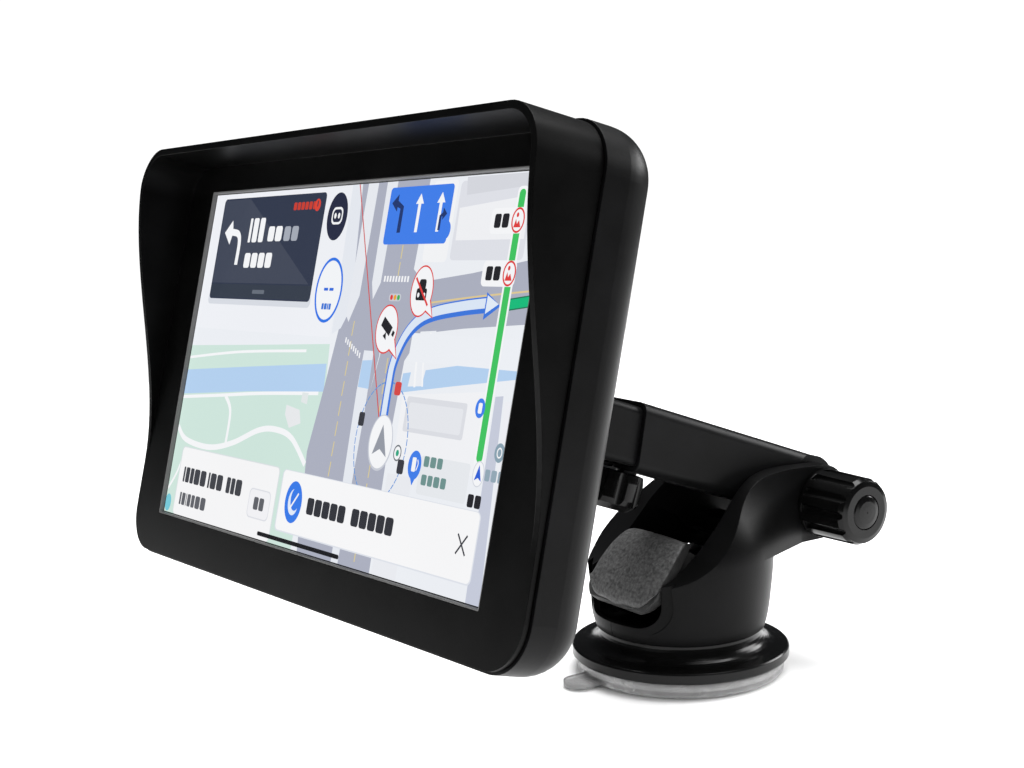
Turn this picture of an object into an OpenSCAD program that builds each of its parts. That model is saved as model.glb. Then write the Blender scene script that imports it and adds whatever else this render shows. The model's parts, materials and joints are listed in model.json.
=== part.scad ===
// Portable gps navigator: a hooded nine-inch display on a ball joint, a telescopic arm
// and a lever-locked suction mount. Millimetres.
// Row frame: origin at the centre of the suction pad's underside, +Z away from the surface
// that it grips, -Y towards the driver, +X towards the side of the arm's pivot knob.

/* [Screen] */
// Width of the picture area
screen_w = 198; // [190:0.5:202]
// Height of the picture area
screen_h = 111.7; // [104:0.1:114]
// Depth of the glass behind the face of the frame
glass_recess = 1.5; // [1.2:0.1:2]

/* [Display case] */
// Width of the front frame
case_w = 239; // [236:0.5:246]
// Height of the front frame
case_h = 138.2; // [136:0.2:146]
// How far the case's middle lies above the middle of the screen
case_rise = -1.3; // [-2:0.1:0]
// Depth from the face of the frame to the back of the case
case_depth = 22; // [21:0.5:24]
// Corner radius of the front frame
case_corner = 14; // [12:0.5:16]
// Reach of the sun hood in front of the frame
hood_depth = 19; // [14:0.5:22]
// Radius of the rounded back edge
back_round = 12.5; // [10:0.5:13]

/* [Pose of the display] */
// Backwards tilt of the display, degrees
display_tilt = 15; // [10:0.5:18]
// Sideways lean of the display, degrees
display_roll = 3; // [0:0.5:6]

/* [Arm] */
// Height of the arm's pivot above the pad's underside
pivot_z = 56.3; // [55:0.1:58]
// Distance of the arm's pivot behind the middle of the pad
pivot_y = 49; // [48:0.5:51]
// Upward slope of the arm, degrees
arm_slope = 19.66; // [16:0.02:22]
// Width of the outer arm
arm_w = 27.4; // [27:0.1:27.8]
// Height of the outer arm
arm_h = 23.4; // [22:0.1:25]
// Length of the outer arm from its pivot to the top of its mouth
sleeve_len = 84; // [78:0.5:88]
// Distance from the pivot to the centre of the ball
ball_reach = 155; // [148:0.5:160]
// Radius of the ball
ball_r = 8.5; // [8:0.1:8.5]

/* [Suction base] */
// Radius of the clear gel pad
pad_r = 36.7; // [34:0.1:37.5]
// Thickness of the gel pad
pad_h = 5.7; // [5:0.1:6]
// Radius of the skirt disc
skirt_r = 38.5; // [37.5:0.5:42]
// Turn of the suction lever between locked and released, degrees
lever_turn = 60; // [50:1:60]

/* [Hidden] */
$fn = 64;

gap = 0.1;
run_gap = 0.05;

// ---- case, in the display's own axes: x right, y back, z up, origin at the screen's middle
case_wall = 2.2;
cover_w = case_w + 1.6;
cover_h = case_h + 1.6;
cover_corner = case_corner + 0.8;
part_y = 1.5;
cover_y = 1.9;
bezel_t = 1;
frame_t = 2;
window_margin = 0.9;
glass_w = screen_w + 9;
glass_h = screen_h + 9.3;
glass_t = 1.1;
tray_w = screen_w + 11;
tray_h = screen_h + 11.3;
panel_y = glass_recess + glass_t;
panel_t = 1.4;
guide_y = panel_y + panel_t;
guide_t = 3;
tray_back = guide_y + guide_t + 0.8;
board_y = tray_back + 3;
board_t = 1.6;
board_back = board_y + board_t;
cover_inner = case_depth - case_wall;
boss_x = case_w / 2 - 8;
boss_zs = [50, -2, -54];
boss_end = 8.5;
// Board outline
board_x0 = -106;
board_x1 = 10;
board_z0 = -42;
board_z1 = 60;
board_holes = [[-100, 54], [4, 54], [-100, -36], [4, -36]];
button_x = -80;
button_y = 13.2;
inlet_z = 22;
card_z = -18;
jack_z = 38;
jack_y = board_back + 3;
jack_r = 1.8;
speaker_x = 62;
speaker_z = -28;
speaker_r = 16;
plate_w = 44;
plate_t = 3.2;
plate_hole = 15;
ball_y = 43.7;
ball_z = 2;

// ---- arm, in its own axes: origin on the pivot, -y along the arm to the ball, z up
arm_mid = 4.2;
arm_round = 3.7;
mouth_slant = 3.5;
inner_w = 24;
inner_h = 20;
inner_clear = 0.25;
inner_back = 52;
cup_start = 138;
socket_r = ball_r + 2.05;
lock_s = 78;
boss_low = -11;

// ---- suction base
housing_low = 16;
housing_top = 43;
ear_in = 14.4;
ear_out = 20.5;
ear_r = 13.5;
well_in = 19.4;
lever_z = 34;
cam_r = 5.5;
cam_throw = 2;
cam_lift = cam_throw * sin(lever_turn / 2);
cam_fore = cam_throw * cos(lever_turn / 2);
pin_r = 2;
stem_r = 4;
bolt_r = 3;
knob_x0 = 20.9;
knob_x1 = 42.5;
floor_top = 19.5;
skirt_holes = [[16, 16], [-16, 16], [16, -16], [-16, -16]];
shell_screws = [[22.5, 25], [22.5, 36]];

plastic = [0.06, 0.06, 0.065];
soft_black = [0.11, 0.11, 0.115];
gloss_black = [0.03, 0.03, 0.035];
grey_black = [0.17, 0.17, 0.18];
steel = [0.72, 0.73, 0.75];
brass = [0.78, 0.62, 0.3];
board_green = [0.05, 0.3, 0.17];

// ---------- shared shapes ----------

// Place things given in the arm's axes
module at_arm() {
    translate([0, pivot_y, pivot_z]) rotate([-arm_slope, 0, 0]) children();
}

// Centre of the ball in the row frame
ball_at = [
    0,
    pivot_y - ball_reach * cos(arm_slope) + arm_mid * sin(arm_slope),
    pivot_z + ball_reach * sin(arm_slope) + arm_mid * cos(arm_slope)
];

// Place things given in the display's axes, so that its ball is the arm's ball
module at_display() {
    translate(ball_at)
        rotate([-display_tilt, 0, 0]) rotate([0, -display_roll, 0])
            translate([0, -ball_y, -ball_z]) children();
}

// Rounded rectangle about the origin
module rounded(w, h, r) {
    square([w - 2 * r, h], center = true);
    square([w, h - 2 * r], center = true);
    for (sx = [-1, 1], sy = [-1, 1])
        translate([sx * (w / 2 - r), sy * (h / 2 - r)]) circle(r);
}

// Flat slab with rounded corners, standing across the y axis from y0 to y1
module slab(w, h, r, y0, y1, zc = 0, xc = 0) {
    translate([xc, y1, zc]) rotate([90, 0, 0]) linear_extrude(y1 - y0) rounded(w, h, r);
}

// Round bar along +y from y0 to y1
module bar_y(r, y0, y1, x = 0, z = 0) {
    translate([x, y1, z]) rotate([90, 0, 0]) cylinder(r = r, h = y1 - y0);
}

// Round bar along +x from x0 to x1
module bar_x(r, x0, x1, y = 0, z = 0) {
    translate([x0, y, z]) rotate([0, 90, 0]) cylinder(r = r, h = x1 - x0);
}

// Hexagonal bar along +x; across is the distance between two flats
module hex_x(across, x0, x1, y = 0, z = 0) {
    translate([x0, y, z]) rotate([0, 90, 0]) cylinder(r = across / sqrt(3), h = x1 - x0, $fn = 6);
}

// Box between two corners
module block(low, high) {
    translate(low) cube(high - low);
}

// Section of a dish: w wide, t deep, its far edges rounded by re
module dish_section(w, t, re) {
    intersection() {
        union() {
            translate([-w / 2, 0]) square([w, t - re]);
            translate([-w / 2 + re, 0]) square([w - 2 * re, t]);
            for (s = [-1, 1]) translate([s * (w / 2 - re), t - re]) circle(re);
        }
        translate([-w / 2, 0]) square([w, t]);
    }
}

// Solid dish with rounded corners rc and a rounded far edge re, from y0 back to y1
module dish(w, h, rc, re, y0, y1) {
    t = y1 - y0;
    translate([0, y0, case_rise]) rotate([-90, 0, 0]) {
        rotate([90, 0, 0]) linear_extrude(h - 2 * rc, center = true) dish_section(w, t, re);
        rotate([90, 0, 90]) linear_extrude(w - 2 * rc, center = true) dish_section(h, t, re);
        for (sx = [-1, 1], sy = [-1, 1])
            translate([sx * (w / 2 - rc), sy * (h / 2 - rc), 0]) rotate_extrude()
                intersection() {
                    dish_section(2 * rc, t, re);
                    square([rc, t]);
                }
    }
}

// Countersunk or pan-headed screw along +y: head at y0, tip at y1
module screw_y(x, z, y_tip, y_head, r = 1.2, head_r = 2.4, head_t = 1.6) {
    difference() {
        union() {
            bar_y(r, y_tip, y_head, x, z);
            bar_y(head_r, y_head, y_head + head_t, x, z);
        }
        for (a = [0, 90])
            translate([x, y_head + head_t, z]) rotate([0, a, 0])
                cube([head_r * 1.3, 1.6, 0.5], center = true);
    }
}

// ---------- suction base ----------

module gel_pad() color([0.88, 0.9, 0.9, 0.6]) {
    tab_x = -4;
    tab_y = -42;
    difference() {
        union() {
            rotate_extrude() polygon([
                [0, 0], [pad_r - 0.8, 0], [pad_r, 0.8], [pad_r, pad_h - 0.6],
                [pad_r - 0.6, pad_h], [0, pad_h]
            ]);
            translate([tab_x, tab_y, 0.5]) cylinder(r = 5.5, h = 1.6);
            block([tab_x - 5.5, tab_y, 0.5], [tab_x + 5.5, -pad_r + 6, 2.1]);
        }
        translate([0, 0, 2.4]) cylinder(r = 15.5, h = pad_h);
        translate([tab_x, tab_y, 1.6]) cylinder(r = 3.2, h = 1);
    }
}

module skirt_disc() color(gloss_black) {
    neck_r = 28.6;
    flare_r = 6;
    flare_z = housing_low - gap;
    difference() {
        rotate_extrude() polygon(concat(
            [
                [9.5, 7.6], [15.5, 7.6], [15.5, pad_h], [skirt_r - 0.5, pad_h],
                [skirt_r, pad_h + 0.5], [skirt_r, 9], [skirt_r - 0.5, 9.5]
            ],
            [for (a = [270 : -10 : 180])
                [neck_r + flare_r + flare_r * cos(a), flare_z + flare_r * sin(a)]],
            [[9.5, flare_z]]
        ));
        for (p = skirt_holes) translate([p[0], p[1], 0]) {
            translate([0, 0, 5]) cylinder(r = 3.3, h = 7.2);
            cylinder(r = 1.7, h = 20);
        }
    }
}

module skirt_screws() color(steel)
    for (p = skirt_holes) translate([p[0], p[1], 0]) difference() {
        union() {
            translate([0, 0, 10.2]) cylinder(r = 3, h = 2);
            translate([0, 0, 12.2]) cylinder(r = 1.4, h = 11);
        }
        for (a = [0, 90]) rotate([0, 0, a]) translate([-2, -0.3, 9.8]) cube([4, 0.6, 1.4]);
    }

// Round body of the housing: it widens upwards, then its shoulders narrow to the two ears
module housing_lathe() {
    rotate_extrude() polygon([
        [0, housing_low], [29.6, housing_low], [30.1, housing_low + 0.8], [31.2, 21.5], [32, 28],
        [32.5, 34], [33, housing_top], [32.6, 46.5], [31.5, 50], [29.8, 54], [27.7, 58],
        [25.4, 62], [23.2, 66], [21.2, 70], [20.7, 73], [0, 73]
    ]);
}

// Hollow of the round body
module housing_hollow() {
    rotate_extrude() polygon([
        [0, floor_top], [28, floor_top], [29.2, 32], [24, 36], [20, housing_top - 2],
        [0, housing_top - 2]
    ]);
}

// Side outline of the housing: sloping front edge, top edge and the round ends of the ears
module side_outline() {
    polygon(concat(
        [
            [-60, 0], [-60, 38], [-28, 38.5], [-17, 41.5], [9, 62], [13, 66.5], [19, 69.8],
            [28, 71.4], [36, 71.4]
        ],
        [for (a = [80 : -10 : -90]) [pivot_y + ear_r * cos(a), pivot_z + ear_r * sin(a)]],
        [[34, pivot_z - ear_r], [34, 0]]
    ));
}

// Arched doorway that the lever stands in, seen along y
module doorway(half, low, corner, y0, y1) {
    translate([0, y1, 0]) rotate([90, 0, 0]) linear_extrude(y1 - y0) {
        translate([-half, low + corner]) square([2 * half, 80 - low - corner]);
        translate([-half + corner, low]) square([2 * (half - corner), corner + 1]);
        for (s = [-1, 1]) translate([s * (half - corner), low + corner]) circle(corner);
    }
}

module housing_solid() {
    difference() {
        union() {
            difference() {
                intersection() {
                    union() {
                        housing_lathe();
                        for (x = [-ear_out, ear_in])
                            block([x, -20, pivot_z - ear_r], [x + ear_out - ear_in, 70, 80]);
                    }
                    translate([-50, 0, 0]) rotate([90, 0, 90]) linear_extrude(100) side_outline();
                }
                housing_hollow();
                // Room for the lever to swing
                intersection() {
                    bar_x(20.5, -18.9, 18.9, 0, lever_z);
                    block([-20, -40, floor_top + 0.2], [20, 40, 70]);
                }
                // Doorway and the recessed band around it
                doorway(19, 22, 7, -40, -8);
                difference() {
                    doorway(22.6, 19.8, 10, -40, -12);
                    translate([0, 0, 10]) cylinder(r = 30.6, h = 50);
                }
            }
            // Bosses for the lever pin, the shell screws and the skirt screws
            for (x = [-31, 19.2]) bar_x(4.5, x, x + 11.8, 0, lever_z);
            for (p = shell_screws) bar_x(3.6, -21, 21, p[0], p[1]);
            for (p = skirt_holes) translate([p[0], p[1], floor_top - 1]) cylinder(r = 3.6, h = 6);
        }
        // Room between the side walls, which close in on the arm towards the ears
        intersection() {
            translate([0, 0, housing_top + 2]) linear_extrude(60) polygon([
                [-well_in, -60], [well_in, -60], [well_in, 2], [ear_in, 27], [ear_in, 90],
                [-ear_in, 90], [-ear_in, 27], [-well_in, 2]
            ]);
            union() {
                block([-50, -70, 40], [50, 21, 120]);
                block([-50, -70, housing_top + 7], [50, 100, 120]);
            }
        }
        // Stem guide, lever pin, pivot bolt and screw holes
        translate([0, 0, 10]) cylinder(r = stem_r + run_gap, h = 15);
        bar_x(pin_r, -24.2, 24.2, 0, lever_z);
        bar_x(bolt_r + gap, -30, 30, pivot_y, pivot_z);
        hex_x(10.3, -30, -ear_out + 4.2, pivot_y, pivot_z);
        for (p = skirt_holes) translate([p[0], p[1], 10]) cylinder(r = 1.4, h = 13.4);
        for (p = shell_screws) {
            bar_x(3.1, -40, -15, p[0], p[1]);
            bar_x(1.5, -20, 12.2, p[0], p[1]);
        }
    }
}

module housing_left() color(soft_black) intersection() {
    housing_solid();
    block([-60, -60, 0], [-gap, 90, 90]);
}

module housing_right() color(soft_black) intersection() {
    housing_solid();
    block([gap, -60, 0], [60, 90, 90]);
}

module housing_screws() color(steel)
    for (p = shell_screws) difference() {
        union() {
            bar_x(2.9, -17.2, -15, p[0], p[1]);
            bar_x(1.5, -15, 12, p[0], p[1]);
        }
        for (a = [0, 90]) translate([-17.2, p[0], p[1]]) rotate([a, 0, 0])
            cube([1.6, 4, 0.6], center = true);
    }

module lever_pin() color(steel) bar_x(pin_r, -24, 24, 0, lever_z);

// Side outline of the lever: a grip that slopes down the front, carried by the hub
module lever_outline() {
    polygon([
        [-27.4, 26.6], [-28.6, 28.2], [-27.4, 31], [-22.6, 37.8], [-17, 44], [-12.4, 47.8],
        [-9.4, 49], [-6.8, 48.4], [-6.4, 47], [-9.2, 44.6], [-14.2, 40.8], [-20, 34.4],
        [-24.8, 27.2]
    ]);
}

// Rib between the hub and the back of the grip
module lever_rib() {
    polygon([[-1, 28.2], [-22, 29.6], [-24, 32.6], [-13, 44], [-8, 46.4], [2, 39.6]]);
}

module suction_lever() color(grey_black) difference() {
    union() {
        // Grip, wider at its lip than at its top
        intersection() {
            translate([-20, 0, 0]) rotate([90, 0, 90]) linear_extrude(40) lever_outline();
            linear_extrude(80) polygon([
                [-16.4, -31], [16.4, -31], [18.3, -25.5], [18.3, -21], [16.8, -14], [13.8, -7],
                [13.8, 10], [-13.8, 10], [-13.8, -7], [-16.8, -14], [-18.3, -21], [-18.3, -25.5]
            ]);
            doorway(18.4, 26, 9.5, -45, 12);
        }
        for (x = [-13.6, -7.2, 4.5, 10.9])
            translate([x, 0, 0]) rotate([90, 0, 90]) linear_extrude(2.7) lever_rib();
        // Hub and the cam that lifts the plunger
        bar_x(6, -18.4, -4.3, 0, lever_z);
        bar_x(6, 4.3, 18.4, 0, lever_z);
        bar_x(cam_r, -4.4, 4.4, cam_fore, lever_z + cam_lift);
    }
    bar_x(pin_r + run_gap, -20, 20, 0, lever_z);
}

module plunger() color(steel) {
    yoke_z = lever_z + cam_lift;
    difference() {
        union() {
            translate([0, 0, 4.6]) cylinder(r = 14, h = 1.8);
            translate([0, 0, 6]) cylinder(r = stem_r, h = yoke_z - 6 - 6);
            block([-3.8, -9.4, yoke_z - 7.8], [3.8, 9.4, yoke_z + 7.8]);
        }
        // Slot that the cam turns in
        block([-5, -7.8, yoke_z - cam_r - 0.08], [5, 7.8, yoke_z + cam_r + 0.08]);
    }
}

// Point lists of a coil spring's wire, for a polyhedron
function coil_ring(r, wire, a, z, sides) = [
    for (k = [0 : sides - 1])
        let (b = 360 * k / sides, q = r + wire * cos(b))
            [q * cos(a), q * sin(a), z + wire * sin(b)]
];
function coil_quads(rings, sides) = [
    for (i = [0 : rings - 2], k = [0 : sides - 1])
        let (n = (k + 1) % sides)
            [i * sides + k, i * sides + n, (i + 1) * sides + n, (i + 1) * sides + k]
];

module coil(r, wire, turns, z0, z1, steps = 18, sides = 8) {
    rings = turns * steps + 1;
    points = [
        for (i = [0 : rings - 1])
            each coil_ring(r, wire, 360 * i / steps, z0 + (z1 - z0) * i / (rings - 1), sides)
    ];
    ends = [
        [for (k = [0 : sides - 1]) k],
        [for (k = [sides - 1 : -1 : 0]) (rings - 1) * sides + k]
    ];
    polyhedron(points, concat(coil_quads(rings, sides), ends));
}

module return_spring() color(steel) coil(6.6, 0.55, 4, 7, housing_low - 0.6);

module pivot_bolt() color(steel) {
    bar_x(bolt_r, -ear_out + 4.1, 37, pivot_y, pivot_z);
    hex_x(10, -ear_out + 0.1, -ear_out + 4.1, pivot_y, pivot_z);
}

module friction_washers() color(grey_black)
    for (x = [-14.3, 13.8]) difference() {
        bar_x(9, x, x + 0.5, pivot_y, pivot_z);
        bar_x(bolt_r + gap, x - 1, x + 2, pivot_y, pivot_z);
    }

// ---------- pivot knob ----------

module pivot_knob() color(gloss_black) difference() {
    translate([knob_x0, pivot_y, pivot_z]) rotate([0, 90, 0]) rotate_extrude() polygon([
        [0, 0], [11.7, 0], [12.2, 0.5], [12.2, 2.2], [11.9, 19.4], [11, 21],
        [9.2, 21.6], [0, 21.6]
    ]);
    for (k = [0 : 11]) translate([0, pivot_y, pivot_z]) rotate([30 * k, 0, 0])
        bar_x(1.7, knob_x0 + 2, knob_x1 + 5, 0, 12.7);
    bar_x(5.2, knob_x0 - 1, knob_x0 + 13, pivot_y, pivot_z);
    bar_x(bolt_r + 0.3, knob_x0, knob_x0 + 17, pivot_y, pivot_z);
    bar_x(6.2, knob_x1 - 1.6, knob_x1 + 2, pivot_y, pivot_z);
}

module knob_insert() color(brass) difference() {
    bar_x(5.2, knob_x0 + 0.6, knob_x0 + 13, pivot_y, pivot_z);
    bar_x(bolt_r + run_gap, knob_x0, knob_x0 + 20, pivot_y, pivot_z);
}

module knob_cap() color(gloss_black)
    translate([knob_x1 - 1.6, pivot_y, pivot_z]) rotate([0, 90, 0]) rotate_extrude() polygon([
        [0, 0], [6.1, 0], [6.1, 1.3], [5.6, 1.8], [4, 2.15], [2, 2.3], [0, 2.35]
    ]);

// ---------- arm ----------

// Rounded tube section along the arm between two distances from the pivot
module arm_bar(w, h, r, s0, s1) {
    translate([0, -s0, arm_mid]) rotate([90, 0, 0]) linear_extrude(s1 - s0) rounded(w, h, r);
}

module outer_arm() color(soft_black) at_arm() difference() {
    union() {
        arm_bar(arm_w, arm_h, arm_round, 0, sleeve_len + mouth_slant);
        bar_x(arm_h / 2, -arm_w / 2, arm_w / 2, 0, arm_mid);
        translate([0, -lock_s, boss_low]) cylinder(r = 6.6, h = 8);
    }
    // Room for the inner arm
    arm_bar(inner_w + 2 * inner_clear, inner_h + 2 * inner_clear, 2.6, 15, 100);
    // Slanting mouth
    translate([-20, -sleeve_len, arm_mid + arm_h / 2])
        rotate([atan(mouth_slant / arm_h), 0, 0]) translate([0, -20, -50]) cube([40, 20, 80]);
    bar_x(bolt_r + run_gap, -20, 20, 0, 0);
    // Lock stud and its square nut
    translate([0, -lock_s, -20]) cylinder(r = 2.6, h = 20);
    translate([-4.1, -lock_s - 4.1, -9.9]) cube([8.2, 30, 2.6]);
}

module clamp_nut() color(steel) at_arm() difference() {
    translate([-4, -lock_s - 4, -9.8]) cube([8, 8, 2.4]);
    translate([0, -lock_s, -12]) cylinder(r = 2.55, h = 8);
}

module arm_lock_knob() color(gloss_black) at_arm() translate([0, -lock_s, 0]) difference() {
    rotate_extrude() polygon([
        [0, -21.4], [6.4, -21.4], [9, -19.4], [9.8, -17.6], [9.8, -11.4], [9.2, -8.6],
        [7.3, -8.2], [7.3, -11.6], [0, -11.6]
    ]);
    for (k = [0 : 7]) rotate([0, 0, 45 * k + 22.5]) translate([11.2, 0, -24]) cylinder(r = 2.4, h = 20);
    translate([0, 0, -19]) cylinder(r = 2.5, h = 12);
}

module lock_stud() color(steel) at_arm() translate([0, -lock_s, 0]) {
    translate([0, 0, -19]) cylinder(r = 2.5, h = 12.9);
}

module inner_arm() color(plastic) at_arm() difference() {
    union() {
        arm_bar(inner_w, inner_h, 2.4, inner_back, cup_start + 2);
        translate([0, -cup_start, arm_mid]) rotate([90, 0, 0]) cylinder(r = 12.4, h = 18.5);
    }
    // Hollow of the beam
    arm_bar(inner_w - 4.4, inner_h - 4.4, 1, inner_back - 5, cup_start - 8);
    // Seat of the liners, open towards the ball
    translate([0, -ball_reach, arm_mid]) sphere(socket_r);
    translate([0, -ball_reach, arm_mid]) rotate([90, 0, 0]) cylinder(r = socket_r, h = 10);
}

module ring_nut() color(plastic) at_arm() translate([0, -ball_reach, arm_mid]) difference() {
    translate([0, 8, 0]) rotate([90, 0, 0]) rotate_extrude() polygon([
        [12.45, 0], [14.6, 0], [15.4, 0.8], [15.4, 13.4], [14.4, 15.4], [12, 16.4],
        [ball_r - 0.1, 16.4], [ball_r - 0.1, 10], [12.45, 9.8]
    ]);
    sphere(socket_r + run_gap);
    rotate([90, 0, 0]) cylinder(r1 = 0, r2 = 14.3, h = 12);
    for (k = [0 : 17]) rotate([0, 20 * k, 0]) translate([0, 10, 16.3]) rotate([90, 0, 0])
        cylinder(r = 1.5, h = 15);
}

// Half shell around the ball, open towards the display
module liner(r_in, r_out) {
    difference() {
        sphere(r_out);
        sphere(r_in);
        block([-20, -30, -20], [20, 0.9, 20]);
    }
}

module socket_liner() color([0.35, 0.35, 0.36]) at_arm() translate([0, -ball_reach, arm_mid])
    liner(ball_r + 1.05, socket_r - run_gap);

module ball_liner() color([0.15, 0.15, 0.15]) at_arm() translate([0, -ball_reach, arm_mid])
    liner(ball_r + run_gap, ball_r + 1);

// ---------- display ----------

module ball_plate() color(plastic) at_display() difference() {
    union() {
        slab(plate_w, plate_w, 4, case_depth, case_depth + plate_t, ball_z);
        translate([0, ball_y, ball_z]) sphere(ball_r);
        bar_y(4, case_depth + 1, ball_y, 0, ball_z);
        translate([0, case_depth + plate_t + 2.6, ball_z]) rotate([90, 0, 0])
            cylinder(r1 = 4, r2 = 9, h = 3);
    }
    for (sx = [-1, 1], sz = [-1, 1]) {
        bar_y(1.7, 20, 30, sx * plate_hole, ball_z + sz * plate_hole);
        bar_y(3, case_depth + 1.4, 30, sx * plate_hole, ball_z + sz * plate_hole);
    }
}

module plate_screws() color(steel) at_display()
    for (sx = [-1, 1], sz = [-1, 1])
        screw_y(sx * plate_hole, ball_z + sz * plate_hole, 15.6, case_depth + 1.4, 1.35, 2.7, 1.5);

// How far the hood's front edge stands in front of the frame at height z
wing_low = -40;
wing_high = 60;
function wing_t(z) = min(1, max(0, (z - wing_low) / (wing_high - wing_low)));
function wing_y(z) = -hood_depth * pow(wing_t(z), 2) * (3 - 2 * wing_t(z));

// Space in front of the hood's curved side edges
module before_hood() {
    translate([-case_w, 0, 0]) rotate([90, 0, 90]) linear_extrude(2 * case_w) polygon(concat(
        [[-40, -100], [0, -100]],
        [for (z = [wing_low : 4 : wing_high]) [wing_y(z), z]],
        [[-hood_depth, 100], [-40, 100]]
    ));
}

module front_frame() color(plastic) at_display() difference() {
    union() {
        difference() {
            slab(case_w, case_h, case_corner, -hood_depth, part_y, case_rise);
            slab(case_w - 2 * case_wall, case_h - 2 * case_wall, case_corner - case_wall,
                -hood_depth - 1, 0, case_rise);
            before_hood();
        }
        // Tongue that enters the rear cover, and the screw bosses
        slab(case_w - 3.2, case_h - 3.2, case_corner - 1.6, part_y - 0.5, 4.5, case_rise);
        for (s = [-1, 1], z = boss_zs) bar_y(3, bezel_t, boss_end, s * boss_x, z);
    }
    // Window, glass rebate and the space behind
    slab(screen_w + 2 * window_margin, screen_h + 2 * window_margin, 0.5, -1, 10);
    slab(glass_w + 0.8, glass_h + 0.8, 1, bezel_t, 10);
    difference() {
        slab(case_w - 7, case_h - 7, case_corner - 3.5, frame_t, 10, case_rise);
        for (s = [-1, 1], z = boss_zs) bar_y(3, 0, 12, s * boss_x, z);
    }
    for (s = [-1, 1], z = boss_zs) bar_y(1.1, 1.6, 12, s * boss_x, z);
}

module rear_cover() color(plastic) at_display() difference() {
    union() {
        difference() {
            dish(cover_w, cover_h, cover_corner, back_round, cover_y, case_depth);
            dish(cover_w - 2 * case_wall, cover_h - 2 * case_wall, cover_corner - case_wall,
                back_round - case_wall, cover_y - 0.01, cover_inner);
        }
        // Posts that meet the frame's bosses, and bosses behind the ball plate
        intersection() {
            dish(cover_w - 0.5, cover_h - 0.5, cover_corner, back_round, cover_y, case_depth);
            union() {
                for (s = [-1, 1], z = boss_zs) bar_y(4, boss_end + 0.2, 30, s * boss_x, z);
                for (sx = [-1, 1], sz = [-1, 1])
                    bar_y(3.2, 14.5, 21, sx * plate_hole, ball_z + sz * plate_hole);
            }
        }
    }
    for (s = [-1, 1], z = boss_zs) {
        bar_y(1.6, 0, 30, s * boss_x, z);
        bar_y(2.7, 15.5, 40, s * boss_x, z);
    }
    for (sx = [-1, 1], sz = [-1, 1])
        bar_y(1.35, 15.5, 30, sx * plate_hole, ball_z + sz * plate_hole);
    // Speaker grille
    for (k = [-3 : 3]) slab(2 * sqrt(196 - pow(4 * k, 2)), 1.6, 0.7, 15, 30, speaker_z + 4 * k, speaker_x);
    // Power inlet, card slot and audio jack on the left side
    block([-130, board_back, inlet_z - 4.8], [-114, board_back + 3.6, inlet_z + 4.8]);
    block([-130, board_back, card_z - 6.4], [-114, board_back + 2, card_z + 6.4]);
    bar_x(3.6, -130, -111.5, jack_y, jack_z);
    // Power button
    block([button_x - 6.15, button_y - 2.15, 60], [button_x + 6.15, button_y + 2.15, 80]);
}

module case_screws() color(steel) at_display()
    for (s = [-1, 1], z = boss_zs) screw_y(s * boss_x, z, 2.6, 15.5, 1.1, 2.4, 1.8);

module screen_gasket() color([0.05, 0.05, 0.05]) at_display() difference() {
    slab(glass_w, glass_h, 0.8, bezel_t, glass_recess);
    slab(screen_w + 2.8, screen_h + 2.8, 0.5, bezel_t - 1, glass_recess + 1);
}

module cover_glass() color([0.1, 0.12, 0.15]) at_display()
    slab(glass_w, glass_h, 0.8, glass_recess, panel_y);

module lcd_panel() color([0.55, 0.72, 0.85]) at_display()
    slab(screen_w + 4, screen_h + 5, 0.4, panel_y, guide_y);

module light_guide() color([0.92, 0.93, 0.95]) at_display()
    slab(screen_w + 7, screen_h + 7.5, 0.4, guide_y, guide_y + guide_t);

module backlight_tray() color(steel) at_display() {
    difference() {
        slab(tray_w, tray_h, 0.8, guide_y, tray_back);
        slab(screen_w + 7, screen_h + 7.5, 0.4, guide_y - 1, guide_y + guide_t);
    }
    for (p = board_holes) difference() {
        bar_y(2.6, tray_back - 0.2, board_y, p[0], p[1]);
        bar_y(1, tray_back + 0.2, board_y + 1, p[0], p[1]);
    }
}

module main_board() color(board_green) at_display() difference() {
    block([board_x0, board_y, board_z0], [board_x1, board_back, board_z1]);
    for (p = board_holes) bar_y(1.5, board_y - 1, board_back + 1, p[0], p[1]);
}

module board_screws() color(steel) at_display()
    for (p = board_holes) screw_y(p[0], p[1], tray_back + 0.4, board_back, 1, 2, 1.2);

module shield_can() color(steel) at_display()
    block([-76, board_back, -16], [-40, board_back + 2.4, 14]);

module gps_antenna() color([0.82, 0.76, 0.6]) at_display() {
    slab(25, 25, 0.6, board_back + 1, board_back + 5, 40, -40);
    bar_y(1.2, board_back + 4, board_back + 5.6, -38, 41);
}

module antenna_shelf() color(board_green) at_display()
    slab(28, 28, 0.5, board_back, board_back + 1, 40, -40);

module battery() color([0.75, 0.77, 0.8]) at_display()
    slab(72, 44, 2, tray_back + 0.2, tray_back + 5.6, 32, 62);

module speaker() color([0.12, 0.12, 0.12]) at_display() difference() {
    union() {
        bar_y(speaker_r, cover_inner - 4.6, cover_inner, speaker_x, speaker_z);
        bar_y(10, cover_inner - 7, cover_inner - 4, speaker_x, speaker_z);
    }
    translate([speaker_x, cover_inner + 0.1, speaker_z]) rotate([90, 0, 0])
        cylinder(r1 = 14.4, r2 = 6, h = 2.4);
}

module power_inlet() color(steel) at_display() difference() {
    block([-117.6, board_back, inlet_z - 4.5], [-103, board_back + 3.3, inlet_z + 4.5]);
    block([-118, board_back + 0.4, inlet_z - 4.1], [-110, board_back + 2.9, inlet_z + 4.1]);
}

module card_slot() color(steel) at_display() difference() {
    block([-117, board_back, card_z - 6.2], [-102, board_back + 1.8, card_z + 6.2]);
    block([-118, board_back + 0.4, card_z - 5.6], [-103, board_back + 1.2, card_z + 5.6]);
}

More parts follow.
